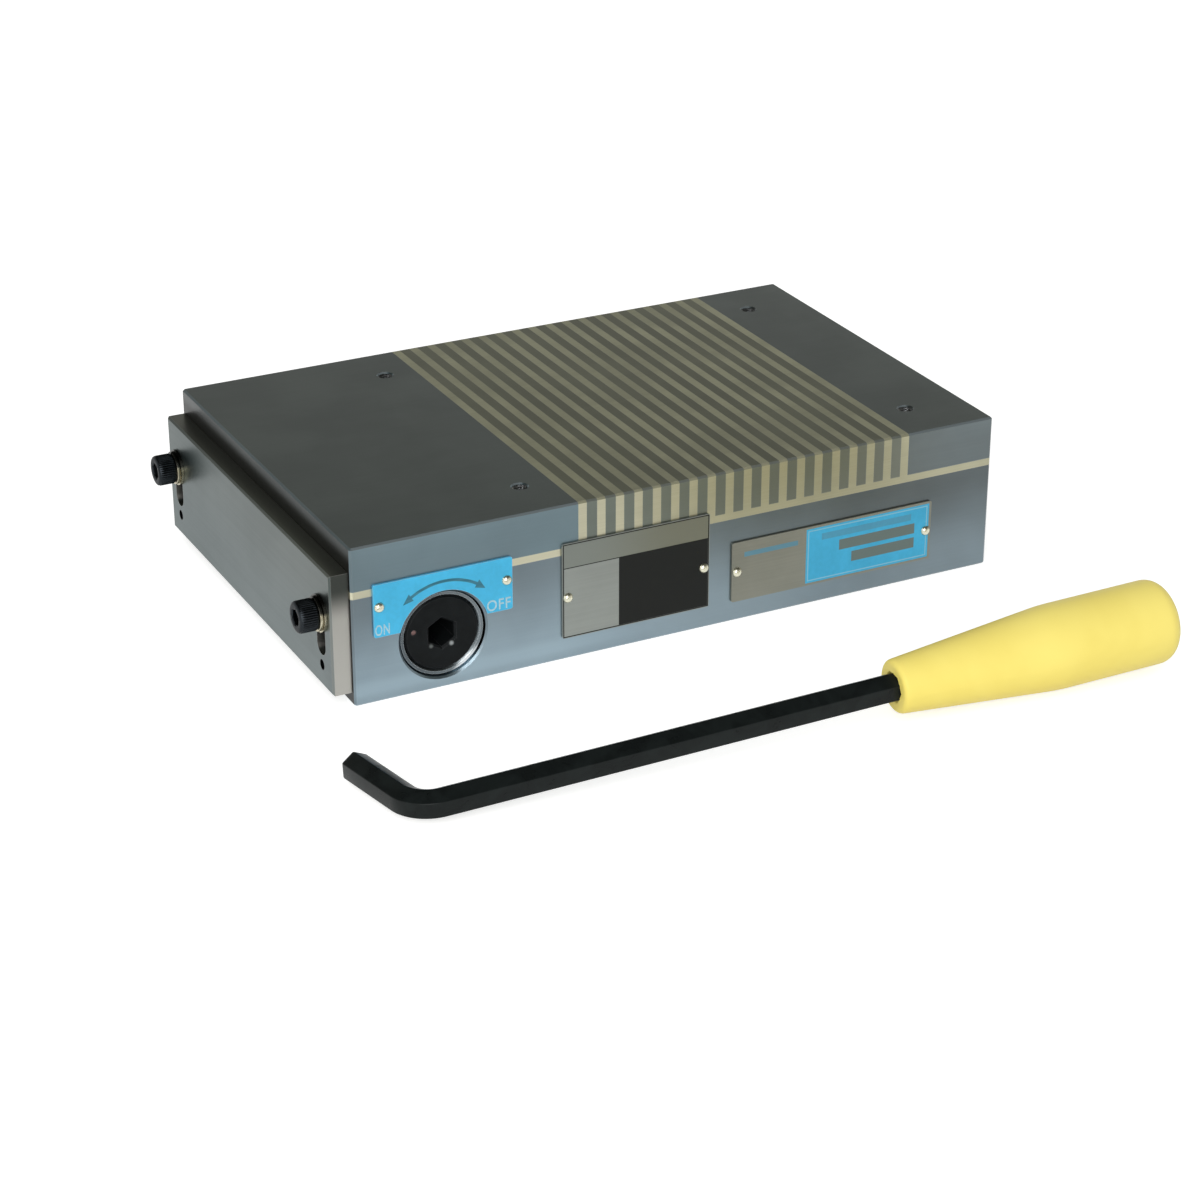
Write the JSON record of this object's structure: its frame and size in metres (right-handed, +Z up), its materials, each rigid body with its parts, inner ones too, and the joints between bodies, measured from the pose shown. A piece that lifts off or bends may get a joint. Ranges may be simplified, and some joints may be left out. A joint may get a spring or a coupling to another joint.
{
  "type": "magnetic chuck",
  "caption": "Rectangular permanent magnetic chuck: laminated steel and brass pole plate on a shallow housing, hex drive in the front, side stop plate, riveted plates and a loose hex lever.",
  "frame": {"origin": "centre of the chuck's underside, on the surface that it stands on", "axes": "+X along the chuck's long side away from the stop plate, +Y from the front face with the drive and plates to the back, +Z up through the work face"},
  "size_m": [0.2162, 0.2027, 0.044],
  "materials": {
    "ground_steel": "ground, satin",
    "work_face_steel": "ground, satin, oiled",
    "bright_steel": "turned, bright",
    "stop_plate_steel": "ground, satin",
    "brass": "ground, satin",
    "bronze": "turned, satin",
    "rivet_brass": "bright",
    "zinc_yellow": "yellow zinc plated, satin",
    "black_oxide": "black oxide, satin",
    "pole_iron": "milled",
    "magnet_grey": "sintered, dull",
    "blue_aluminium": "printed blue, satin",
    "printed_aluminium": "printed in grey, blue and black, satin",
    "seal_rubber": "smooth",
    "grip_plastic": "smooth, slightly glossy"
  },
  "bodies": {
    "chuck": {"base_housing": "ground_steel", "brass_spacer": "brass", "left_pole_block": "work_face_steel", "right_pole_block": "work_face_steel", "pole_laminations": "work_face_steel", "brass_separators": "brass", "guide_strips": "brass", "body_screws": "black_oxide", "front_bush": "bright_steel", "tail_bush": "bronze", "stop_screw": "black_oxide", "stop_plate_screws": "black_oxide", "flat_washers": "zinc_yellow", "spring_washers": "zinc_yellow", "switch_plate": "blue_aluminium", "middle_plate": "printed_aluminium", "rating_plate": "printed_aluminium", "plate_rivets": "rivet_brass"},
    "switch_shaft": {"drive_shaft": "black_oxide", "shaft_seal": "seal_rubber", "cam_roller": "bright_steel", "roller_clip": "black_oxide"},
    "magnet_carriage": {"carriage_frame": "brass", "carriage_poles": "pole_iron", "magnets": "magnet_grey", "drive_fork": "bright_steel", "fork_screws": "black_oxide"},
    "stop_plate": {"side_stop_plate": "stop_plate_steel"},
    "lever": {"hex_lever": "black_oxide", "lever_grip": "grip_plastic"}
  },
  "joints": [
    {"name": "switch_turn", "type": "hinge", "parent": "chuck", "child": "switch_shaft", "pos_m": [-0.07, -0.059, 0.015], "axis": [0, 1, 0], "range_deg": [0, 180]},
    {"name": "carriage_slide", "type": "slide", "parent": "chuck", "child": "magnet_carriage", "axis": [1, 0, 0], "range_m": [0, 0.0027]},
    {"name": "stop_plate_slide", "type": "slide", "parent": "chuck", "child": "stop_plate", "axis": [0, 0, 1], "range_m": [0, 0.009]},
    {"name": "lever_lift", "type": "slide", "parent": "chuck", "child": "lever", "axis": [0, 0, 1], "range_m": [0, 0.06]}
  ],
  "couplings": [
    {"joint": "switch_turn", "follows": "carriage_slide", "rad_per_m": 1163.5}
  ]
}
